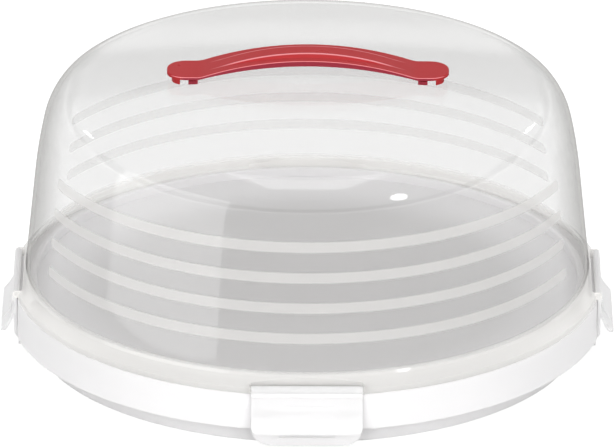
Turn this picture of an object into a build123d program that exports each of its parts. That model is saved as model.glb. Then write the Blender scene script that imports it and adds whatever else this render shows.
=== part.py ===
from build123d import *
import os

# Domed cake carrier: a round white tray, a clear domed lid that stands on it, a carrying handle on
# the lid's crown, and four clips hinged on the lid's rim that hook under the tray's skirt.
# Millimetres, +Z up. The origin is on the carrier's axis, on the surface that the tray stands on.

os.makedirs("parts", exist_ok=True)

# ---- tray ---------------------------------------------------------------------------------------
rim_top_r = 166.8         # outside of the skirt at the shelf; every other radius is stepped from it
rim_flare = 1.7           # the skirt's lower edge stands out this much further
shelf_z = 33.3            # top of the shelf that the lid stands on
floor_drop = 1.0          # from the shelf down to the cake floor
tray_wall = 2.6           # thickness of the floor and of the shelf
foot_inset = 11.6         # from the top of the skirt in to the outside of the foot ring
foot_wall = 2.6
foot_draft = 0.6          # the foot ring is this much wider at its root
skirt_height = 20.7       # from the shelf down to the skirt's lower edge
skirt_wall = 2.4
skirt_flat_depth = 2.9    # from the top of the skirt in to the flat behind a clip
ring_height = 4.2         # locating ring above the shelf
ring_wall = 3.8
ring_round = 1.0
edge_round = 0.5

# ---- lid ----------------------------------------------------------------------------------------
lid_wall = 2.0
lid_fit = 0.6             # radial play between the locating ring and the lid
lid_height = 124.2        # from the shelf up to the top of the crown
lip_inset = 0.2           # from the top of the skirt in to the lid's lip
lip_round = 2.0
knee_rise = 5.3           # from the shelf up to where the flange turns down into the lip
flange_top_inset = 5.6    # top of the sloping flange, from the top of the skirt
flange_top_rise = 8.4     # and from the shelf
root_inset = 6.8          # outside of the dome wall where it leaves the flange
root_rise = 10.1
wall_lean = 5.9           # the straight stretch of wall leans in this much
shoulder_low_step = 5.1   # the rounded shoulder is three tangent arcs, each with its step in and up
shoulder_low_rise = 31.0
shoulder_mid_step = 6.1
shoulder_mid_rise = 13.4
shoulder_top_step = 9.3   # ends at a soft crease, the edge of the crown
shoulder_top_rise = 6.4
crown_rise = 6.8          # from the crown's edge to its top

# ---- clips and their hinges ---------------------------------------------------------------------
clip_count = 4
clip_width = 61.8
clip_gap = 0.3            # play at each end of a clip, between the ears
ear_width = 0.9
hinge_inset = 2.1         # from the top of the skirt in to a hinge's axis
hinge_rise = 3.0          # from the shelf up to a hinge's axis
barrel_r = 2.1            # outside of a clip's barrel, and of the ears
rod_r = 1.2
rod_fit = 0.05            # running clearance of the barrel on its rod
snap_mouth = 1.9          # slot in the back of the barrel, where it snaps over the rod
notch_gap = 1.5           # room behind the barrel
clip_clearance = 0.25     # between the skirt's flat and the clip's plate
plate_wall = 1.9
bead_drop = 3.2           # from the hinge's axis down to the bead at the top of the plate
bead_r = 1.4
bead_reach = 1.1          # the bead stands out this far from the plate's face
ledge_reach = 7.5         # the finger ledge stands out this far from the plate's face
ledge_drop = 5.3          # from the hinge's axis down to where the ledge starts to flare out
ledge_wall = 1.8
ledge_edge = 1.5          # height of the ledge's outer edge, which ends level with the skirt's
ledge_corner = 4.0
lip_bevel = 0.8
shelf_drop = 1.9          # from the skirt's edge down to the shelf that carries the leg in under it
leg_inset = 2.5           # from the plate's face in to the leg's
leg_wall = 1.9
leg_bottom_z = 2.2
leg_corner = 10.0
panel_margin = 15.4       # from each end of the clip to the raised panel
panel_height = 0.4
panel_drop = 9.8          # from the hinge's axis down to the panel
slot_height = 2.0
slot_depth = 0.7
slot_drop = 1.9           # from the shelf's top to the groove across the leg
catch_margin = 15.9       # from each end of the clip to its hook
catch_depth = 1.6         # 45 degree chamfer on the skirt's edge, which the hook takes hold of
catch_gap = 0.3           # between the chamfer and the hook
catch_tip = 0.2           # the hook's tip stands back from the inner end of the chamfer
catch_play = 1.5          # room at each end of the hook, in the chamfered notch

# ---- handle -------------------------------------------------------------------------------------
handle_length = 159.0
handle_width = 26.0
foot_rise = 3.9           # from the top of the crown up to the feet's top plates
arch_rise = 10.1          # from the feet up to the top of the arch, beside the raised rib
arch_wall = 3.3           # thickness of the arch in the middle
arch_inset = 19.0         # from the end of the handle to where the arch meets a foot
foot_wall_top = 1.8       # thickness of the foot's top plate
foot_round = 11.0         # plan radius of the foot's outer corners
foot_block_gap = 1.5      # from the arch's end to the block under the foot
foot_block_inset = 2.7    # the block stands in from the edge of the foot's top plate
foot_seat = 0.15          # between the block and the crown
arch_blend = 15.0
rib_width = 11.0          # across the top of the raised rib
rib_height = 1.8          # in the middle of the arch
rib_slope = 1.6           # the rib's sides run out this much for each millimetre down
rib_inset = 8.5           # the rib dies out this far before the end of the arch
rib_root = 0.2            # the rib is set this deep into the arch
handle_round = 0.7
lug_inset = 9.8           # from the end of the handle to the middle of a lug
lug_width = 4.4
lug_margin = 2.5          # from each edge of the handle to a lug
lug_head_reach = 3.6      # the lug's head reaches this far over the foot's ledge
lug_head_margin = 4.0     # from each end of a lug to its head
lug_head_height = 1.3
lug_fit = 0.15
recess_step = 1.2         # from the inner face of the foot's block to the hollow for the head

# ---- worked out ---------------------------------------------------------------------------------
floor_z = shelf_z - floor_drop
skirt_bottom_z = shelf_z - skirt_height
ring_top_z = shelf_z + ring_height
flange_knee_z = shelf_z + knee_rise
flange_top_z = shelf_z + flange_top_rise
lid_root_z = shelf_z + root_rise
crown_z = shelf_z + lid_height
crown_edge_z = crown_z - crown_rise
shoulder_mid_z = crown_edge_z - shoulder_top_rise
shoulder_low_z = shoulder_mid_z - shoulder_mid_rise
lid_waist_z = shoulder_low_z - shoulder_low_rise
hinge_z = shelf_z + hinge_rise
bead_z = hinge_z - bead_drop
ledge_start_z = hinge_z - ledge_drop
ledge_edge_z = skirt_bottom_z
ledge_lip_z = ledge_edge_z + ledge_edge
panel_top_z = hinge_z - panel_drop
shelf_top_z = skirt_bottom_z - shelf_drop
foot_top_z = crown_z + foot_rise
handle_top_z = foot_top_z + arch_rise
handle_under_z = handle_top_z - arch_wall
plate_under_z = foot_top_z - foot_wall_top

rim_bottom_r = rim_top_r + rim_flare
foot_r = rim_top_r - foot_inset
skirt_flat_r = rim_top_r - skirt_flat_depth
lip_r = rim_top_r - lip_inset
flange_top_r = rim_top_r - flange_top_inset
lid_root_r = rim_top_r - root_inset
lid_waist_r = lid_root_r - wall_lean
shoulder_low_r = lid_waist_r - shoulder_low_step
shoulder_mid_r = shoulder_low_r - shoulder_mid_step
crown_edge_r = shoulder_mid_r - shoulder_top_step
crown_radius = (crown_edge_r**2 + crown_rise**2) / (2 * crown_rise)
lid_inner_r = lid_root_r - lid_wall
ring_outer_r = lid_inner_r - lid_fit
ring_inner_r = ring_outer_r - ring_wall
hinge_r = rim_top_r - hinge_inset
notch_face_r = hinge_r - barrel_r - notch_gap
plate_inner_r = skirt_flat_r + clip_clearance
plate_outer_r = plate_inner_r + plate_wall
ledge_r = plate_outer_r + ledge_reach
leg_outer_r = plate_outer_r - leg_inset
flat_block = clip_width / 2

ear_inner = clip_width / 2 + clip_gap
ear_outer = ear_inner + ear_width
panel_width = clip_width - 2 * panel_margin
catch_width = clip_width - 2 * catch_margin
arch_half = handle_length / 2 - arch_inset
foot_block_start = arch_half + foot_block_gap
recess_start = foot_block_start + recess_step
recess_height = lug_head_height + 2 * lug_fit
lug_x = handle_length / 2 - lug_inset
lug_length = handle_width - 2 * lug_margin
lug_head_length = lug_length - 2 * lug_head_margin
lug_top_z = plate_under_z - lug_fit
lug_head_x = lug_x - (lug_width + lug_head_reach) / 2


def crown_height(distance):
    """Height of the crown at a distance from the carrier's axis."""
    return crown_z - crown_radius + (crown_radius**2 - distance**2) ** 0.5


lug_root_z = crown_height(lug_x + handle_width / 2) - lid_wall / 2
block_root_z = crown_height(handle_length / 2 + foot_round)
rib_half = arch_half - rib_inset
rib_depth = rib_height + rib_root
arch_radius = (arch_half**2 + arch_rise**2) / (2 * arch_rise)
rib_end_z = handle_top_z - arch_radius + (arch_radius**2 - rib_half**2) ** 0.5 - rib_root


# ---- tray ---------------------------------------------------------------------------------------
# The hollow between the foot ring and the skirt, flattened where the skirt is.
channel_top_z = shelf_z - tray_wall
channel_drop = 1.0
with BuildPart() as skirt_hollow:
    with BuildSketch(Plane.XZ):
        with BuildLine():
            Polyline(
                (foot_r, skirt_bottom_z - channel_drop),
                (foot_r + foot_draft, channel_top_z),
                (rim_top_r - skirt_wall, channel_top_z),
                (rim_bottom_r - skirt_wall, skirt_bottom_z - channel_drop),
                close=True,
            )
        make_face()
    revolve(axis=Axis.Z)
    with PolarLocations(skirt_flat_r - skirt_wall + flat_block / 2, clip_count):
        Box(flat_block, 4 * clip_width, 4 * shelf_z, mode=Mode.SUBTRACT)

with BuildPart() as base_tray:
    with BuildSketch(Plane.XZ) as tray_section:
        with BuildLine():
            Polyline(
                (0, floor_z - tray_wall),
                (foot_r - foot_wall, floor_z - tray_wall),
                (foot_r - foot_wall, 0),
                (foot_r, 0),
                (foot_r, skirt_bottom_z),
                (rim_bottom_r, skirt_bottom_z),
                (rim_top_r, shelf_z),
                (ring_outer_r, shelf_z),
                (ring_outer_r, ring_top_z),
                (ring_inner_r, ring_top_z),
                (ring_inner_r, floor_z),
                (0, floor_z),
                close=True,
            )
        make_face()
        corners = tray_section.vertices()
        ring_corners = corners.filter_by(lambda v: v.Y > shelf_z + edge_round)
        fillet(ring_corners, ring_round)
        rim_corners = tray_section.vertices().filter_by(lambda v: v.X > rim_top_r - edge_round)
        fillet(rim_corners, edge_round)
        foot_corners = tray_section.vertices().filter_by(lambda v: v.Y < edge_round)
        fillet(foot_corners, edge_round)
    revolve(axis=Axis.Z)
    # Flats behind the clips.
    with PolarLocations(skirt_flat_r + flat_block / 2, clip_count):
        Box(flat_block, 4 * clip_width, 4 * shelf_z, mode=Mode.SUBTRACT)
    add(skirt_hollow.part, mode=Mode.SUBTRACT)
    # The chamfered notches in the skirt's lower edge that the clips' hooks take hold of.
    for turn in range(clip_count):
        swing = Plane.XZ.rotated((0, 0, 360 / clip_count * turn))
        with BuildSketch(swing):
            with BuildLine():
                Polyline(
                    (skirt_flat_r - catch_depth, skirt_bottom_z),
                    (skirt_flat_r + catch_depth, skirt_bottom_z + 2 * catch_depth),
                    (skirt_flat_r + catch_depth, skirt_bottom_z),
                    close=True,
                )
            make_face()
        extrude(amount=catch_width / 2 + catch_play, both=True, mode=Mode.SUBTRACT)
base_tray.part.label = "base_tray"

# ---- lid ----------------------------------------------------------------------------------------
# The flange's outer form as one solid, used to trim what stands inside it.
with BuildPart() as flange_form:
    with BuildSketch(Plane.XZ):
        with BuildLine():
            Polyline(
                (0, shelf_z),
                (lip_r, shelf_z),
                (lip_r, flange_knee_z - lip_round),
                (lip_r - lip_round, flange_knee_z),
                (flange_top_r, flange_top_z),
                (lid_root_r, lid_root_z),
                (0, lid_root_z),
                close=True,
            )
        make_face()
    revolve(axis=Axis.Z)

# Straight walls that close the flange behind the clips.
with BuildPart() as clip_walls:
    with PolarLocations(notch_face_r - lid_wall / 2, clip_count):
        Box(lid_wall, 2 * ear_outer + 2 * lid_wall, 4 * flange_top_z)
    add(flange_form.part, mode=Mode.INTERSECT)

with BuildPart() as dome_lid:
    with BuildSketch(Plane.XZ) as lid_section:
        with BuildLine():
            lip = Line((lip_r, shelf_z), (lip_r, flange_knee_z - lip_round))
            knee = Line(lip @ 1, (lip_r - lip_round, flange_knee_z))
            slope = Line(knee @ 1, (flange_top_r, flange_top_z))
            root = Line(slope @ 1, (lid_root_r, lid_root_z))
            wall = Line(root @ 1, (lid_waist_r, lid_waist_z))
            shoulder_low = TangentArc(wall @ 1, (shoulder_low_r, shoulder_low_z), tangent=wall % 1)
            shoulder_mid = TangentArc(
                shoulder_low @ 1, (shoulder_mid_r, shoulder_mid_z), tangent=shoulder_low % 1
            )
            shoulder_top = TangentArc(
                shoulder_mid @ 1, (crown_edge_r, crown_edge_z), tangent=shoulder_mid % 1
            )
            crown_mid = (crown_edge_r / 2, crown_height(crown_edge_r / 2))
            ThreePointArc(shoulder_top @ 1, crown_mid, (0, crown_z))
            offset(amount=lid_wall, side=Side.LEFT)
        make_face()
    revolve(axis=Axis.Z)
    # Notches in the flange for the clips' barrels, closed behind by the straight walls.
    with PolarLocations(notch_face_r + flat_block / 2, clip_count):
        Box(flat_block, 2 * ear_inner, 2 * flange_top_z, mode=Mode.SUBTRACT)
    add(clip_walls.part)
    # A rod for each clip, held between two ears.
    for turn in range(clip_count):
        swing = Plane.XZ.rotated((0, 0, 360 / clip_count * turn))
        with BuildSketch(swing):
            with Locations((hinge_r, hinge_z)):
                Circle(rod_r)
        extrude(amount=ear_outer - ear_width / 2, both=True)
        for side in (-1, 1):
            with BuildSketch(swing.offset(side * (ear_inner + ear_width / 2))):
                with Locations((hinge_r, hinge_z)):
                    Circle(barrel_r)
                with Locations(((hinge_r + notch_face_r - lid_wall / 2) / 2, hinge_z)):
                    Rectangle(hinge_r - notch_face_r + lid_wall / 2, 2 * barrel_r)
            extrude(amount=ear_width / 2, both=True)
    # The lugs on the crown that hold the handle's feet.
    for side in (-1, 1):
        with BuildSketch(Plane.XZ):
            with BuildLine():
                Polyline(
                    (side * (lug_x - lug_width / 2), lug_root_z),
                    (side * (lug_x + lug_width / 2), lug_root_z),
                    (side * (lug_x + lug_width / 2), lug_top_z),
                    (side * (lug_x - lug_width / 2), lug_top_z),
                    close=True,
                )
            make_face()
        extrude(amount=lug_length / 2, both=True)
        with BuildSketch(Plane.XZ):
            with Locations((side * lug_head_x, lug_top_z - lug_head_height / 2)):
                Rectangle(lug_head_reach, lug_head_height)
        extrude(amount=lug_head_length / 2, both=True)
dome_lid.part.label = "dome_lid"

# ---- handle -------------------------------------------------------------------------------------
with BuildPart() as carry_handle:
    # The arch and the top plates of the two feet, seen from the side.
    with BuildSketch(Plane.XZ) as handle_side:
        with BuildLine():
            ThreePointArc((-arch_half, foot_top_z), (0, handle_top_z), (arch_half, foot_top_z))
            Polyline(
                (arch_half, foot_top_z),
                (handle_length / 2, foot_top_z),
                (handle_length / 2, plate_under_z),
                (foot_block_start, plate_under_z),
            )
            ThreePointArc(
                (foot_block_start, plate_under_z), (0, handle_under_z), (-foot_block_start, plate_under_z)
            )
            Polyline(
                (-foot_block_start, plate_under_z),
                (-handle_length / 2, plate_under_z),
                (-handle_length / 2, foot_top_z),
                (-arch_half, foot_top_z),
            )
        make_face()
        inner_corners = handle_side.vertices().filter_by(
            lambda v: abs(abs(v.X) - arch_half) < lug_fit and abs(v.Y - foot_top_z) < lug_fit
        )
        fillet(inner_corners, arch_blend)
    extrude(amount=handle_width / 2, both=True)
    # The block under each foot stands on the crown.
    with BuildSketch(Plane.XY.offset(block_root_z)):
        RectangleRounded(
            handle_length - 2 * foot_block_inset,
            handle_width - 2 * foot_block_inset,
            foot_round - foot_block_inset,
        )
        Rectangle(2 * foot_block_start, handle_width, mode=Mode.SUBTRACT)
    extrude(amount=plate_under_z - block_root_z)
    with Locations((0, 0, crown_z - crown_radius)):
        Sphere(crown_radius + foot_seat, mode=Mode.SUBTRACT)
    # Rounded ends, seen from above.
    with BuildSketch(Plane.XY.offset(block_root_z)):
        RectangleRounded(handle_length, handle_width, foot_round)
    extrude(amount=handle_top_z, mode=Mode.INTERSECT)
    # The slots that take the lid's lugs, with a ledge under each lug's head.
    for side in (-1, 1):
        with BuildSketch(Plane.XZ):
            with Locations((side * lug_x, (plate_under_z + block_root_z) / 2)):
                Rectangle(lug_width + 2 * lug_fit, plate_under_z - block_root_z)
            with Locations((side * (recess_start + lug_x) / 2, plate_under_z - recess_height / 2)):
                Rectangle(lug_x - recess_start, recess_height)
        extrude(amount=handle_width, both=True, mode=Mode.SUBTRACT)
    top_faces = carry_handle.faces().filter_by(
        lambda f: f.normal_at().Z > 0.5 and f.center().Z > plate_under_z
    )
    fillet(top_faces.edges().filter_by(Axis.Y, reverse=True), handle_round)
    # The raised rib along the arch, a trapezoid swept along an arc that dips into it at both ends.
    with BuildLine(Plane.XZ) as rib_line:
        rib_arc = ThreePointArc(
            (-rib_half, rib_end_z), (0, handle_top_z + rib_height), (rib_half, rib_end_z)
        )
    with BuildSketch(Plane(rib_arc @ 0, x_dir=(0, 1, 0), z_dir=rib_arc % 0)):
        with BuildLine():
            Polyline(
                (-rib_width / 2, 0),
                (rib_width / 2, 0),
                (rib_width / 2 + rib_slope * rib_depth, -rib_depth),
                (-rib_width / 2 - rib_slope * rib_depth, -rib_depth),
                close=True,
            )
        make_face()
    sweep(path=rib_line.line)
carry_handle.part.label = "carry_handle"

# ---- clips --------------------------------------------------------------------------------------
# One clip, drawn where the clip on the +X side stands, then turned to each of its places.
hook_tip_r = skirt_flat_r - catch_depth + catch_tip
hook_line = skirt_flat_r - catch_depth - skirt_bottom_z + catch_gap * 2**0.5
leg_inner_r = leg_outer_r - leg_wall
slot_z = shelf_top_z - slot_drop - slot_height / 2
front_plane = Plane.YZ.offset(leg_inner_r - barrel_r)
front_reach = ledge_r - leg_inner_r + 2 * barrel_r


# Section of the finger ledge, with the stretch of plate that it flares out of.
with BuildSketch(Plane.XZ) as ledge_section:
    with BuildLine():
        face = Line((plate_outer_r, bead_z), (plate_outer_r, ledge_start_z))
        flare = TangentArc(face @ 1, (ledge_r - lip_bevel, ledge_lip_z + lip_bevel), tangent=face % 1)
        edge = Polyline(
            flare @ 1,
            (ledge_r, ledge_lip_z),
            (ledge_r, ledge_edge_z),
            (ledge_r - ledge_wall, ledge_edge_z),
        )
        back_r = plate_outer_r - ledge_wall / 2
        back = Line((back_r, bead_z), (back_r, ledge_start_z))
        TangentArc(back @ 1, edge @ 1, tangent=back % 1)
        Line(back @ 0, face @ 0)
    make_face()

with BuildPart() as finger_ledge:
    extrude(ledge_section.sketch, amount=clip_width / 2, both=True)
    # Rounded lower corners, seen from the front.
    with BuildSketch(front_plane) as ledge_front:
        with Locations((0, (bead_z + ledge_edge_z) / 2)):
            Rectangle(clip_width, bead_z - ledge_edge_z)
        fillet(ledge_front.vertices().filter_by(lambda v: v.Y < ledge_start_z), ledge_corner)
    extrude(amount=front_reach, mode=Mode.INTERSECT)

with BuildPart() as clip:
    # The plate, its bead, the barrel, the shelf under the skirt and the leg.
    with BuildSketch(Plane.XZ):
        with BuildLine():
            Polyline(
                (plate_inner_r, hinge_z),
                (plate_outer_r, hinge_z),
                (plate_outer_r, skirt_bottom_z),
                (leg_outer_r, shelf_top_z - plate_wall),
                (leg_outer_r, leg_bottom_z),
                (leg_inner_r, leg_bottom_z),
                (leg_inner_r, shelf_top_z),
                (plate_inner_r, shelf_top_z),
                close=True,
            )
        make_face()
        with Locations((plate_outer_r + bead_reach - bead_r, bead_z)):
            Circle(bead_r)
        with Locations((hinge_r, hinge_z)):
            Circle(barrel_r)
            Circle(rod_r + rod_fit, mode=Mode.SUBTRACT)
        with Locations((hinge_r - barrel_r, hinge_z)):
            Rectangle(2 * barrel_r, snap_mouth, mode=Mode.SUBTRACT)
    extrude(amount=clip_width / 2, both=True)
    # Rounded lower corners, seen from the front.
    with BuildSketch(front_plane) as clip_front_view:
        with Locations((0, (hinge_z + barrel_r + leg_bottom_z) / 2)):
            Rectangle(clip_width, hinge_z + barrel_r - leg_bottom_z)
        fillet(clip_front_view.vertices().filter_by(lambda v: v.Y < hinge_z), leg_corner)
    extrude(amount=front_reach, mode=Mode.INTERSECT)
    add(finger_ledge.part)
    # The raised panel follows the plate and the ledge.
    with BuildSketch(Plane((panel_height, 0, 0), x_dir=(1, 0, 0), z_dir=(0, -1, 0))):
        add(ledge_section.sketch_local)
        with Locations((ledge_r, (panel_top_z + ledge_lip_z + lip_bevel) / 2)):
            Rectangle(ledge_r, panel_top_z - ledge_lip_z - lip_bevel, mode=Mode.INTERSECT)
    extrude(amount=panel_width / 2, both=True)
    # The groove across the leg.
    with BuildSketch(Plane.YZ.offset(leg_outer_r - slot_depth)):
        with Locations((0, slot_z)):
            Rectangle(panel_width, slot_height)
    extrude(amount=front_reach, mode=Mode.SUBTRACT)
    # The hook that takes hold of the skirt's chamfer.
    with BuildSketch(Plane.XZ):
        with BuildLine():
            Polyline(
                (hook_tip_r, shelf_top_z - plate_wall / 2),
                (hook_tip_r, hook_tip_r - hook_line),
                (plate_inner_r, plate_inner_r - hook_line),
                (plate_outer_r - plate_wall / 2, plate_inner_r - hook_line),
                (plate_outer_r - plate_wall / 2, skirt_bottom_z),
                (plate_inner_r, shelf_top_z - plate_wall / 2),
                close=True,
            )
        make_face()
    extrude(amount=catch_width / 2, both=True)

pieces = {"base_tray": base_tray.part, "dome_lid": dome_lid.part, "carry_handle": carry_handle.part}
for turn, side_name in enumerate(("right", "back", "left", "front")):
    with BuildPart() as placed_clip:
        with Locations(Location((0, 0, 0), (0, 0, 360 / clip_count * turn))):
            add(clip.part)
    placed_clip.part.label = f"clip_{side_name}"
    pieces[placed_clip.part.label] = placed_clip.part

for name, piece in pieces.items():
    export_step(piece, f"parts/{name}.step")
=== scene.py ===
"""Domed cake carrier: white tray, clear lid with frosted stripes, red carrying handle, four white clips.

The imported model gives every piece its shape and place. This script gives each piece its finish, and
adds the floor, the studio light and the camera. Lengths are in metres, z is up and the front faces -y.
"""

import logging
import math
from dataclasses import dataclass
from enum import Enum

import bmesh
import bpy
from mathutils import Matrix, Vector

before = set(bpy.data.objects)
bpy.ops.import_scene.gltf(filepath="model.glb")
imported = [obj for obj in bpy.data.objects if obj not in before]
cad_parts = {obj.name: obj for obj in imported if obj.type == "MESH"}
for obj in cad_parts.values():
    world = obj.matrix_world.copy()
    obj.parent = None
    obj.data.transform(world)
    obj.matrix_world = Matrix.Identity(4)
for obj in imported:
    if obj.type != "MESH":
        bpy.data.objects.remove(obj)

Tree = bpy.types.NodeTree
Socket = bpy.types.NodeSocket
Value = float | Socket
Colour = tuple[float, float, float, float] | Socket

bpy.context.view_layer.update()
LOG = logging.getLogger("cake_carrier")
MILLIMETRE = 0.001
SCHLICK_POWER = 5.0


def linear(hex_colour: str) -> tuple[float, float, float, float]:
    """Turns an sRGB hex colour into the linear colour that the shaders take.

    Args:
        hex_colour: Six hex digits after a hash sign.

    Returns:
        Red, green, blue and an alpha of 1.
    """
    parts = [int(hex_colour[i : i + 2], 16) / 255 for i in (1, 3, 5)]
    return (*[p / 12.92 if p <= 0.04045 else ((p + 0.055) / 1.055) ** 2.4 for p in parts], 1.0)


def add_node(
    tree: Tree,
    kind: str,
    inputs: dict[str | int, object] | None = None,
    **settings: object,
) -> bpy.types.Node:
    """Adds one node with its settings, values and links.

    Args:
        tree: The node tree that takes the node.
        kind: The node's type, without its ShaderNode prefix.
        inputs: For each input's name or number, a value or the socket to link to it.
        settings: Properties of the node.

    Returns:
        The new node.
    """
    node = tree.nodes.new("ShaderNode" + kind)
    for name, value in settings.items():
        setattr(node, name, value)
    for name, value in (inputs or {}).items():
        if isinstance(value, Socket):
            tree.links.new(value, node.inputs[name])
        else:
            node.inputs[name].default_value = value
    return node


def cleared_tree(owner: bpy.types.Material | bpy.types.World) -> Tree:
    """Switches on the nodes of a material or world, and removes the ones it comes with.

    Args:
        owner: The material or world.

    Returns:
        Its empty node tree.
    """
    owner.use_nodes = True
    owner.node_tree.nodes.clear()
    return owner.node_tree


def object_place(tree: Tree) -> Socket:
    """Gives the object coordinates."""
    return add_node(tree, "TexCoord").outputs["Object"]


def split(tree: Tree, vector: Socket) -> list[Socket]:
    """Splits a vector into its x, y and z."""
    return list(add_node(tree, "SeparateXYZ", {0: vector}).outputs)


def maths(tree: Tree, operation: str, *values: Value) -> Socket:
    """Adds a Math node on the values and gives its result."""
    return add_node(tree, "Math", dict(enumerate(values)), operation=operation).outputs[0]


def flat_length(tree: Tree, x: Value, y: Value) -> Socket:
    """Gives the length of the flat vector (x, y)."""
    vector = add_node(tree, "CombineXYZ", {0: x, 1: y}).outputs[0]
    return add_node(tree, "VectorMath", {0: vector}, operation="LENGTH").outputs["Value"]


def ramp(
    tree: Tree,
    value: Value,
    start: Value = 0.0,
    end: Value = 1.0,
    low: Value = 0.0,
    high: Value = 1.0,
    smooth: bool = False,
) -> Socket:
    """Maps a value to another range, and holds it at both ends.

    Args:
        tree: The node tree.
        value: The value to map.
        start: Where the result is `low`.
        end: Where the result is `high`.
        low: The result at and before `start`.
        high: The result at and past `end`.
        smooth: Whether the change eases in and out.

    Returns:
        The mapped value.
    """
    return add_node(
        tree,
        "MapRange",
        {"Value": value, "From Min": start, "From Max": end, "To Min": low, "To Max": high},
        interpolation_type="SMOOTHSTEP" if smooth else "LINEAR",
    ).outputs[0]


def mix_colours(tree: Tree, share: Value, first: Colour, second: Colour) -> Socket:
    """Mixes two linear colours: none of the second at a share of 0, only the second at 1."""
    return add_node(tree, "Mix", {0: share, 6: first, 7: second}, data_type="RGBA").outputs[2]


def mix_shaders(tree: Tree, share: Value, first: Socket, second: Socket) -> Socket:
    """Mixes two shaders: none of the second at a share of 0, only the second at 1."""
    return add_node(tree, "MixShader", {0: share, 1: first, 2: second}).outputs[0]


class Side(Enum):
    """The four sides that carry a clip."""

    FRONT = "clip_front"
    RIGHT = "clip_right"
    BACK = "clip_back"
    LEFT = "clip_left"


class LampOutline(Enum):
    """The outlines that a lamp can have."""

    RECTANGLE = "RECTANGLE"
    ELLIPSE = "ELLIPSE"


@dataclass(frozen=True)
class MouldedPlastic:
    """Opaque moulded polypropylene: a soft sheen over a faint orange-peel skin."""

    name: str
    colour: str
    shade: str
    roughness: float
    roughness_spread: float = 0.06
    ior: float = 1.49
    sheen_level: float = 0.5
    subsurface: float = 0.0
    subsurface_mm: float = 3.0
    mottle_mm: float = 38.0
    mottle_low: float = 0.3
    mottle_high: float = 0.7
    mottle_detail: float = 3.0
    # Drawn coarser than the real skin, whose peel is a few tenths of a millimetre across.
    skin_mm: float = 1.6
    skin_detail: float = 2.0
    skin_depth_mm: float = 0.012
    skin_strength: float = 0.25

    def base_colour(self, tree: Tree, place: Socket, mottle: Socket) -> Socket:
        """Mixes the colour of the plastic from its two shades.

        Args:
            tree: The material's node tree.
            place: Object coordinates. Not used here.
            mottle: The slow noise that the two shades follow.

        Returns:
            The colour.
        """
        return mix_colours(tree, mottle, linear(self.colour), linear(self.shade))

    def material(self) -> bpy.types.Material:
        """Builds the material.

        Returns:
            A material whose colour, roughness and bump come from noise on object coordinates.
        """
        mat = bpy.data.materials.new(self.name)
        tree = cleared_tree(mat)
        place = object_place(tree)
        mottle, skin = (
            add_node(
                tree, "TexNoise", {"Vector": place, "Scale": 1 / (size * MILLIMETRE), "Detail": detail}
            ).outputs["Fac"]
            for size, detail in ((self.mottle_mm, self.mottle_detail), (self.skin_mm, self.skin_detail))
        )
        bump = add_node(
            tree,
            "Bump",
            {
                "Height": skin,
                "Strength": self.skin_strength,
                "Distance": self.skin_depth_mm * MILLIMETRE,
            },
        )
        spread = self.roughness_spread / 2
        rough = ramp(
            tree,
            mottle,
            self.mottle_low,
            self.mottle_high,
            self.roughness - spread,
            self.roughness + spread,
        )
        shader = add_node(
            tree,
            "BsdfPrincipled",
            {
                "Base Color": self.base_colour(tree, place, mottle),
                "Roughness": rough,
                "IOR": self.ior,
                "Specular IOR Level": self.sheen_level,
                "Normal": bump.outputs[0],
                "Subsurface Weight": self.subsurface,
                "Subsurface Radius": (1.0, 1.0, 1.0),
                "Subsurface Scale": self.subsurface_mm * MILLIMETRE,
            },
        )
        add_node(tree, "OutputMaterial", {"Surface": shader.outputs[0]})
        return mat


@dataclass(frozen=True)
class TrayPlastic(MouldedPlastic):
    """The tray's polypropylene: polished all over, with painted shade on the cake floor, which is drawn
    greyer.

    The painted shade fades out towards the floor's edge, and most of all at the back.
    """

    # Painted shade on the cake floor: its colour, the heights that bound the floor, and where the shade is
    # full and where it fades out.
    floor_colour: str = "#D7D6D6"
    floor_top_z: float = 0.0331
    floor_under_z: float = 0.0310
    floor_shade_centre_y: float = -0.011
    floor_shade_full_r: float = 0.108
    floor_shade_end_r: float = 0.152

    def base_colour(self, tree: Tree, place: Socket, mottle: Socket) -> Socket:
        """Mixes the tray's colour, with painted shade on the cake floor.

        Args:
            tree: The material's node tree.
            place: Object coordinates.
            mottle: The slow noise that the two shades follow.

        Returns:
            The colour.
        """
        x, y, z = split(tree, place)
        radius = flat_length(tree, x, maths(tree, "SUBTRACT", y, self.floor_shade_centre_y))
        inside = ramp(tree, radius, self.floor_shade_end_r, self.floor_shade_full_r, smooth=True)
        below = maths(tree, "LESS_THAN", z, self.floor_top_z)
        above = maths(tree, "GREATER_THAN", z, self.floor_under_z)
        # Painted shade: the cake floor is drawn greyer, fading out towards its edge.
        painted_floor_shade = maths(tree, "MULTIPLY", inside, maths(tree, "MULTIPLY", below, above))
        return mix_colours(tree, painted_floor_shade, super().base_colour(tree, place, mottle), linear(self.floor_colour))


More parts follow.
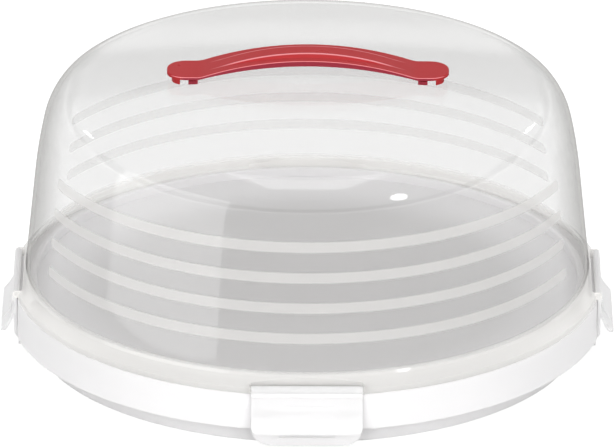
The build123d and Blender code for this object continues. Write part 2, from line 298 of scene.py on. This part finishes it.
@dataclass(frozen=True)
class HandlePlastic(MouldedPlastic):
    """The handle's polypropylene, with painted highlights along its rounded edges and its rib, and painted
    shade on its flanks.

    The values of edge and flank are those of the normal's sideways part, from 0 on top to 1 on a flank.
    """

    # Painted highlight along the upward-facing rounded edges.
    painted_highlight_colour: str = "#EC969C"
    edge_start: float = 0.58
    edge_full: float = 0.66
    edge_past: float = 0.88
    edge_end: float = 0.96
    # Painted shade on the flanks: a darker red where the surface faces sideways.
    painted_flank_shade_colour: str = "#9C3643"
    flank_start: float = 0.92
    flank_full: float = 0.99
    upward_start: float = 0.1
    upward_full: float = 0.3
    # Painted highlight in thin lines along the rib's edges.
    rib_edge_y: float = 0.0055
    rib_line: float = 0.0007
    rib_full_x: float = 0.040
    rib_end_x: float = 0.056

    def base_colour(self, tree: Tree, place: Socket, mottle: Socket) -> Socket:
        """Mixes the handle's colour, with painted highlights on its edges and rib, and painted shade on its
        flanks.

        Args:
            tree: The material's node tree.
            place: Object coordinates.
            mottle: The slow noise that the two shades follow.

        Returns:
            The colour.
        """
        x, y, _ = split(tree, place)
        _, sideways, upward = split(tree, add_node(tree, "TexCoord").outputs["Normal"])
        sideways = maths(tree, "ABSOLUTE", sideways)
        upward = ramp(tree, upward, self.upward_start, self.upward_full)
        rising = ramp(tree, sideways, self.edge_start, self.edge_full)
        falling = ramp(tree, sideways, self.edge_end, self.edge_past)
        edge = maths(tree, "MULTIPLY", rising, falling)
        away = maths(tree, "SUBTRACT", maths(tree, "ABSOLUTE", y), self.rib_edge_y)
        line = ramp(tree, maths(tree, "ABSOLUTE", away), self.rib_line, self.rib_line / 2)
        reach = ramp(tree, maths(tree, "ABSOLUTE", x), self.rib_end_x, self.rib_full_x)
        rib = maths(tree, "MULTIPLY", line, reach)
        flank = ramp(tree, sideways, self.flank_start, self.flank_full)
        colour = super().base_colour(tree, place, mottle)
        # Painted shade on the flanks, then painted highlights on the edges and on the rib.
        for share, shade in (
            (maths(tree, "MULTIPLY", flank, flank), self.painted_flank_shade_colour),
            (maths(tree, "MULTIPLY", edge, upward), self.painted_highlight_colour),
            (maths(tree, "MULTIPLY", rib, upward), self.painted_highlight_colour),
        ):
            colour = mix_colours(tree, share, colour, linear(shade))
        return colour


@dataclass(frozen=True)
class Stripes:
    """The frosted stripes: long round-ended bands about the front and about the back of the wall."""

    width: float = 0.0060
    blur: float = 0.0004
    lowest_z: float = 0.0639
    pitch: float = 0.0174
    front_count: int = 4
    back_count: int = 3
    front_reach_degrees: float = 66.0
    back_reach_degrees: float = 60.0
    back_strength: float = 0.6
    wall_r: float = 0.155

    def mask(self, tree: Tree) -> Socket:
        """Builds the mask of the stripes.

        Args:
            tree: The material's node tree.

        Returns:
            A socket that is 1 on a front stripe, less on a back stripe and 0 elsewhere.
        """
        x, y, z = split(tree, object_place(tree))
        turn = maths(tree, "ARCTAN2", maths(tree, "ABSOLUTE", x), maths(tree, "ABSOLUTE", y))
        behind = maths(tree, "GREATER_THAN", y, 0.0)
        front_reach, back_reach = map(math.radians, (self.front_reach_degrees, self.back_reach_degrees))
        reach = ramp(tree, behind, low=front_reach, high=back_reach)
        past = maths(tree, "MULTIPLY", maths(tree, "SUBTRACT", turn, reach), self.wall_r)
        past = maths(tree, "MAXIMUM", past, 0.0)
        step = maths(tree, "DIVIDE", maths(tree, "SUBTRACT", z, self.lowest_z), self.pitch)
        highest = ramp(tree, behind, low=self.front_count - 1.0, high=self.back_count - 1.0)
        step = maths(tree, "MINIMUM", maths(tree, "MAXIMUM", maths(tree, "ROUND", step), 0.0), highest)
        centre = maths(tree, "MULTIPLY_ADD", step, self.pitch, self.lowest_z)
        distance = flat_length(tree, past, maths(tree, "SUBTRACT", z, centre))
        strength = ramp(tree, behind, low=1.0, high=self.back_strength)
        half = self.width / 2
        return ramp(tree, distance, half + self.blur, half - self.blur, high=strength, smooth=True)


@dataclass(frozen=True)
class PaintedFlangeGlow:
    """A painted glow on the flange, at its edge and at the rear, where light piped down the wall would
    leave it.
    """

    rim_glow: float = 0.085
    rim_start_r: float = 0.157
    rim_full_r: float = 0.165
    side_start_y: float = -0.155
    side_full_y: float = -0.070
    side_past_y: float = 0.0
    side_end_y: float = 0.08
    rear_glow: float = 0.10
    rear_start_y: float = 0.02
    rear_full_y: float = 0.12

    def strength(self, tree: Tree) -> Socket:
        """Builds the strength of the light.

        Args:
            tree: The material's node tree.

        Returns:
            A socket with the strength of the painted glow at each point of the flange.
        """
        x, y, _ = split(tree, object_place(tree))
        radius = flat_length(tree, x, y)
        rim = ramp(tree, radius, self.rim_start_r, self.rim_full_r, high=self.rim_glow, smooth=True)
        for start, full in ((self.side_start_y, self.side_full_y), (self.side_end_y, self.side_past_y)):
            rim = maths(tree, "MULTIPLY", rim, ramp(tree, y, start, full, smooth=True))
        rear = ramp(tree, y, self.rear_start_y, self.rear_full_y, high=self.rear_glow, smooth=True)
        return maths(tree, "MAXIMUM", rim, rear)


@dataclass(frozen=True)
class ClearPlastic:
    """Clear moulded plastic with frosted stripes round the wall.

    The clear wall lets nearly everything through, mirrors more at a glancing angle, and darkens at its
    own edge, where light crosses it lengthways. The stripes scatter about half of what meets them, and
    so does the flange under the wall's root, where the plastic is thick.
    """

    name: str = "clear_styrene_with_frosted_stripes"
    tint: str = "#FAFAFA"
    edge_tint: str = "#B8B7B5"
    edge_start: float = 0.58
    flange_tint: str = "#FEFEFE"
    root_low_z: float = 0.0425
    root_high_z: float = 0.0450
    haze_colour: str = "#F6F5F3"
    haze: float = 0.04
    flange_haze: float = 0.58
    frost: float = 0.58
    skin_share: float = 0.5
    flange_skin_share: float = 0.85
    gloss_colour: str = "#FFFFFF"
    roughness: float = 0.04
    ior: float = 1.49
    edge_mirror: float = 0.30
    heart_z: float = 0.060
    stripes: Stripes = Stripes()
    # The flange's painted glow.
    painted_flange_glow: PaintedFlangeGlow = PaintedFlangeGlow()

    def outer_skin(self, tree: Tree) -> Socket:
        """Builds the mask of the lid's outside, whose faces turn away from a point inside the lid.

        Args:
            tree: The material's node tree.

        Returns:
            A socket that is 1 on the outside and 0 on the inside.
        """
        place = add_node(tree, "TexCoord")
        behind = add_node(tree, "NewGeometry").outputs["Backfacing"]
        heart = (0.0, 0.0, self.heart_z)
        line = add_node(tree, "VectorMath", {0: place.outputs["Object"], 1: heart}, operation="SUBTRACT")
        along = add_node(
            tree, "VectorMath", {0: place.outputs["Normal"], 1: line.outputs[0]}, operation="DOT_PRODUCT"
        ).outputs["Value"]
        along = maths(tree, "MULTIPLY", along, ramp(tree, behind, low=1.0, high=-1.0))
        return maths(tree, "GREATER_THAN", along, 0.0)

    def mirror_share(self, tree: Tree, facing: Socket, outer: Socket) -> Socket:
        """Builds the share of light that is mirrored.

        Args:
            tree: The material's node tree.
            facing: 0 where the surface faces the ray, 1 where the ray grazes it.
            outer: The mask of the lid's outside.

        Returns:
            A socket that grows on the outside as the ray grazes the wall, and is even on the inside.
        """
        straight = ((self.ior - 1) / (self.ior + 1)) ** 2
        glance = maths(tree, "MULTIPLY", maths(tree, "POWER", facing, SCHLICK_POWER), outer)
        return ramp(tree, glance, low=straight, high=self.edge_mirror)

    def material(self) -> bpy.types.Material:
        """Builds the material.

        Returns:
            A see-through material with the stripes' frost mixed in.
        """
        mat = bpy.data.materials.new(self.name)
        tree = cleared_tree(mat)
        outer = self.outer_skin(tree)
        facing = add_node(tree, "LayerWeight").outputs["Facing"]
        height = split(tree, object_place(tree))[2]
        flange = ramp(tree, height, self.root_high_z, self.root_low_z, smooth=True)

        edge = maths(tree, "MULTIPLY", ramp(tree, facing, self.edge_start, 1.0), outer)
        tint = mix_colours(tree, edge, linear(self.tint), linear(self.edge_tint))
        tint = mix_colours(tree, flange, tint, linear(self.flange_tint))
        clear = add_node(tree, "BsdfTransparent", {"Color": tint}).outputs[0]

        through = add_node(tree, "BsdfTranslucent", {"Color": linear(self.haze_colour)}).outputs[0]
        skin = add_node(tree, "BsdfDiffuse", {"Color": linear(self.haze_colour)}).outputs[0]
        skin_share = ramp(tree, flange, low=self.skin_share, high=self.flange_skin_share)
        haze = mix_shaders(tree, skin_share, through, skin)
        stripes = maths(tree, "MULTIPLY", self.stripes.mask(tree), outer)
        haze_share = ramp(tree, flange, low=self.haze, high=self.flange_haze)
        haze_share = ramp(tree, stripes, low=haze_share, high=self.frost)
        wall = mix_shaders(tree, haze_share, clear, haze)

        gloss = add_node(
            tree, "BsdfGlossy", {"Color": linear(self.gloss_colour), "Roughness": self.roughness}
        ).outputs[0]
        wall = mix_shaders(tree, self.mirror_share(tree, facing, outer), wall, gloss)

        # A painted glow: the flange gives off light of its own at its edge and at the rear.
        painted_glow_strength = maths(tree, "MULTIPLY", self.painted_flange_glow.strength(tree), flange)
        glow = add_node(
            tree, "Emission", {"Color": linear(self.haze_colour), "Strength": painted_glow_strength}
        ).outputs[0]
        wall = add_node(tree, "AddShader", {0: wall, 1: glow}).outputs[0]
        add_node(tree, "OutputMaterial", {"Surface": wall})
        return mat


def dress(node: str, mat: bpy.types.Material) -> None:
    """Gives a node of the model its finish.

    Args:
        node: The node's name.
        mat: The finish.
    """
    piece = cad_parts[node]
    piece.data.materials.clear()
    piece.data.materials.append(mat)
    LOG.info("%s: %d faces, %s", node, len(piece.data.polygons), mat.name)


@dataclass
class Tray:
    """The white tray that the cake stands on."""

    # Injection-moulded polypropylene: a neutral white that light sinks into a little, so its edges glow
    # and its shine stays wide and soft.
    finish: TrayPlastic = TrayPlastic(
        "satin_white_polypropylene", "#F4F3F4", "#F1F0F1", roughness=0.34, subsurface=0.6
    )

    def build(self) -> None:
        """Dresses the tray."""
        dress("base_tray", self.finish.material())


@dataclass
class Lid:
    """The clear lid and its handle."""

    # Injection-moulded polystyrene: water clear, hard and glossy, with sharp small reflections.
    wall: ClearPlastic = ClearPlastic()
    # Injection-moulded polypropylene, red all through: a satin skin, with thin pink highlights painted
    # along its edges and rib and shade painted on its flanks.
    grip: HandlePlastic = HandlePlastic(
        "satin_red_polypropylene", "#BE393C", "#B43437", roughness=0.30, mottle_mm=24.0, sheen_level=0.04
    )

    def build(self) -> None:
        """Dresses the lid and the handle."""
        dress("dome_lid", self.wall.material())
        dress("carry_handle", self.grip.material())


@dataclass
class Clips:
    """The four white clips."""

    # The tray's polypropylene, moulded thinner and a touch smoother, so the clips look a shade brighter.
    finish: MouldedPlastic = MouldedPlastic(
        "satin_white_clip_polypropylene",
        "#F5F4F5",
        "#F4F3F4",
        roughness=0.30,
        mottle_mm=60.0,
        subsurface=0.8,
    )

    def build(self) -> None:
        """Dresses each clip."""
        mat = self.finish.material()
        for side in Side:
            dress(side.value, mat)


@dataclass(frozen=True)
class Softbox:
    """A flat lamp, aimed at a point on the carrier."""

    name: str
    place: tuple[float, float, float]
    width: float
    height: float
    watts: float
    aim: tuple[float, float, float] = (0.0, 0.0, 0.08)
    outline: LampOutline = LampOutline.RECTANGLE
    lights_matt: bool = True
    shows_in_gloss: bool = True

    def build(self) -> None:
        """Makes the lamp."""
        data = bpy.data.lights.new(self.name, "AREA")
        data.shape = self.outline.value
        data.size = self.width
        data.size_y = self.height
        data.energy = self.watts
        lamp = bpy.data.objects.new(self.name, data)
        lamp.location = self.place
        line = Vector(self.aim) - Vector(self.place)
        lamp.rotation_euler = line.to_track_quat("-Z", "Y").to_euler()
        lamp.visible_camera = False
        lamp.visible_diffuse = self.lights_matt
        lamp.visible_glossy = self.shows_in_gloss
        bpy.context.scene.collection.objects.link(lamp)


@dataclass(frozen=True)
class MirrorLamp(Softbox):
    """A small round lamp that shows only as a highlight on the lid's shoulder."""

    outline: LampOutline = LampOutline.ELLIPSE
    lights_matt: bool = False


@dataclass(frozen=True)
class Studio:
    """The pale floor, the soft lamps and the camera.

    The sky is dimmer from the sides. In mirrors it is white with a bright low band and a dim one above
    it, each row of `horizon` being the degrees where a change starts and ends, and the change.
    """

    sky_colour: str = "#FFFFFF"
    sky_strength: float = 0.58
    side_start: float = 0.45
    side_strength: float = 0.38
    horizon: tuple[tuple[float, float, float], ...] = (
        (12.5, 14.5, 0.5),
        (16.0, 18.0, -1.3),
        (22.0, 24.0, 0.8),
    )
    floor_size: float = 12.0
    floor_colour: str = "#F2F2F1"
    floor_lift: float = 1.43
    floor_lift_share: float = 0.6
    image_width: int = 615
    focal_pixels: float = 10240.0
    sensor_mm: float = 36.0
    view_depth: float = 100.0
    target_z: float = 0.0417
    distance: float = 5.818
    elevation: float = 22.98
    pitch: float = 22.75
    roll: float = 0.18
    lamps: tuple[Softbox, ...] = (
        Softbox("key_softbox", (-1.3, -2.4, 1.1), 1.5, 1.5, watts=24.0, shows_in_gloss=False),
        Softbox("fill_softbox", (1.4, -2.35, 1.0), 1.4, 1.4, watts=21.0, shows_in_gloss=False),
        Softbox("low_softbox", (0.0, -2.6, 0.22), 1.6, 0.36, watts=2.6, shows_in_gloss=False),
        Softbox("top_softbox", (0.0, 0.0, 1.35), 0.56, 1.1, watts=3.6),
        Softbox(
            "left_strip",
            (-0.262, -0.215, 0.115),
            0.28,
            0.26,
            watts=0.32,
            aim=(0.0, 0.0, 0.075),
            lights_matt=False,
        ),
        MirrorLamp("left_spot", (-0.463, 0.322, 0.456), 0.06, 0.06, watts=0.09),
        MirrorLamp("right_spot", (0.384, 0.388, 0.458), 0.06, 0.06, watts=0.09),
        MirrorLamp("front_spot", (0.410, -0.520, 0.455), 0.09, 0.12, watts=0.18),
    )

    def show_to_eye(self, tree: Tree, shader: Socket, seen_shader: Socket) -> Socket:
        """Shows one shader to the camera, to mirrors and through glass, and another to the light.

        Args:
            tree: The node tree.
            shader: What light meets.
            seen_shader: What the camera sees, directly, mirrored or through glass.

        Returns:
            The mixed shader.
        """
        path = add_node(tree, "LightPath").outputs
        seen = maths(tree, "MAXIMUM", path["Is Camera Ray"], path["Is Glossy Ray"])
        seen = maths(tree, "MAXIMUM", seen, path["Is Transmission Ray"])
        return mix_shaders(tree, seen, shader, seen_shader)

    def build_world(self) -> None:
        """Makes the even light that comes from all round."""
        world = bpy.data.worlds.new("studio")
        tree = cleared_tree(world)
        across, _, rise = split(tree, add_node(tree, "TexCoord").outputs["Generated"])
        sideways = maths(tree, "ABSOLUTE", across)
        strength = ramp(
            tree, sideways, self.side_start, 1.0, self.sky_strength, self.side_strength, smooth=True
        )
        mirrored = add_node(tree, "LightPath").outputs["Is Glossy Ray"]
        level = 1.0
        for low, high, change in self.horizon:
            start, end = (math.sin(math.radians(angle)) for angle in (low, high))
            step = ramp(tree, rise, start, end, high=change, smooth=True)
            level = maths(tree, "ADD", level, maths(tree, "MULTIPLY", step, mirrored))
        sky, white = (
            add_node(tree, "Background", {"Color": linear(self.sky_colour), "Strength": value}).outputs[0]
            for value in (strength, level)
        )
        add_node(tree, "OutputWorld", {"Surface": self.show_to_eye(tree, sky, white)})
        bpy.context.scene.world = world

    def build_floor(self) -> None:
        """Makes the pale floor that the tray stands on."""
        mesh = bpy.data.meshes.new("floor")
        made = bmesh.new()
        bmesh.ops.create_grid(made, x_segments=1, y_segments=1, size=self.floor_size / 2)
        made.to_mesh(mesh)
        made.free()
        floor = bpy.data.objects.new("floor", mesh)
        bpy.context.scene.collection.objects.link(floor)
        # Matt white paper: even and shadowless, since what the camera sees of it is mostly its own lift.
        mat = bpy.data.materials.new("matt_white_paper")
        tree = cleared_tree(mat)
        paper = add_node(tree, "BsdfDiffuse", {"Color": linear(self.floor_colour)}).outputs[0]
        glow = add_node(
            tree, "Emission", {"Color": linear(self.sky_colour), "Strength": self.floor_lift}
        ).outputs[0]
        lifted = mix_shaders(tree, self.floor_lift_share, paper, glow)
        add_node(tree, "OutputMaterial", {"Surface": self.show_to_eye(tree, paper, lifted)})
        mesh.materials.append(mat)

    def build_camera(self) -> None:
        """Makes the camera: a long lens, a little above the carrier."""
        data = bpy.data.cameras.new("camera")
        data.sensor_width = self.sensor_mm
        data.lens = self.focal_pixels / self.image_width * self.sensor_mm
        data.clip_end = self.view_depth
        camera = bpy.data.objects.new("camera", data)
        rise = math.radians(self.elevation)
        camera.location = (
            0,
            -self.distance * math.cos(rise),
            self.target_z + self.distance * math.sin(rise),
        )
        turn = Matrix.Rotation(math.radians(90 - self.pitch), 4, "X")
        turn = turn @ Matrix.Rotation(math.radians(self.roll), 4, "Z")
        camera.rotation_euler = turn.to_euler()
        bpy.context.scene.collection.objects.link(camera)
        bpy.context.scene.camera = camera

    def build(self) -> None:
        """Makes the whole studio."""
        self.build_world()
        self.build_floor()
        for lamp in self.lamps:
            lamp.build()
        self.build_camera()
        bpy.context.scene.view_settings.view_transform = "Standard"


def main() -> None:
    """Builds the studio and dresses each sub-assembly in turn."""
    logging.basicConfig(level=logging.INFO, format="%(message)s")
    for part in (Studio(), Tray(), Lid(), Clips()):
        part.build()


if __name__ == "__main__":
    main()
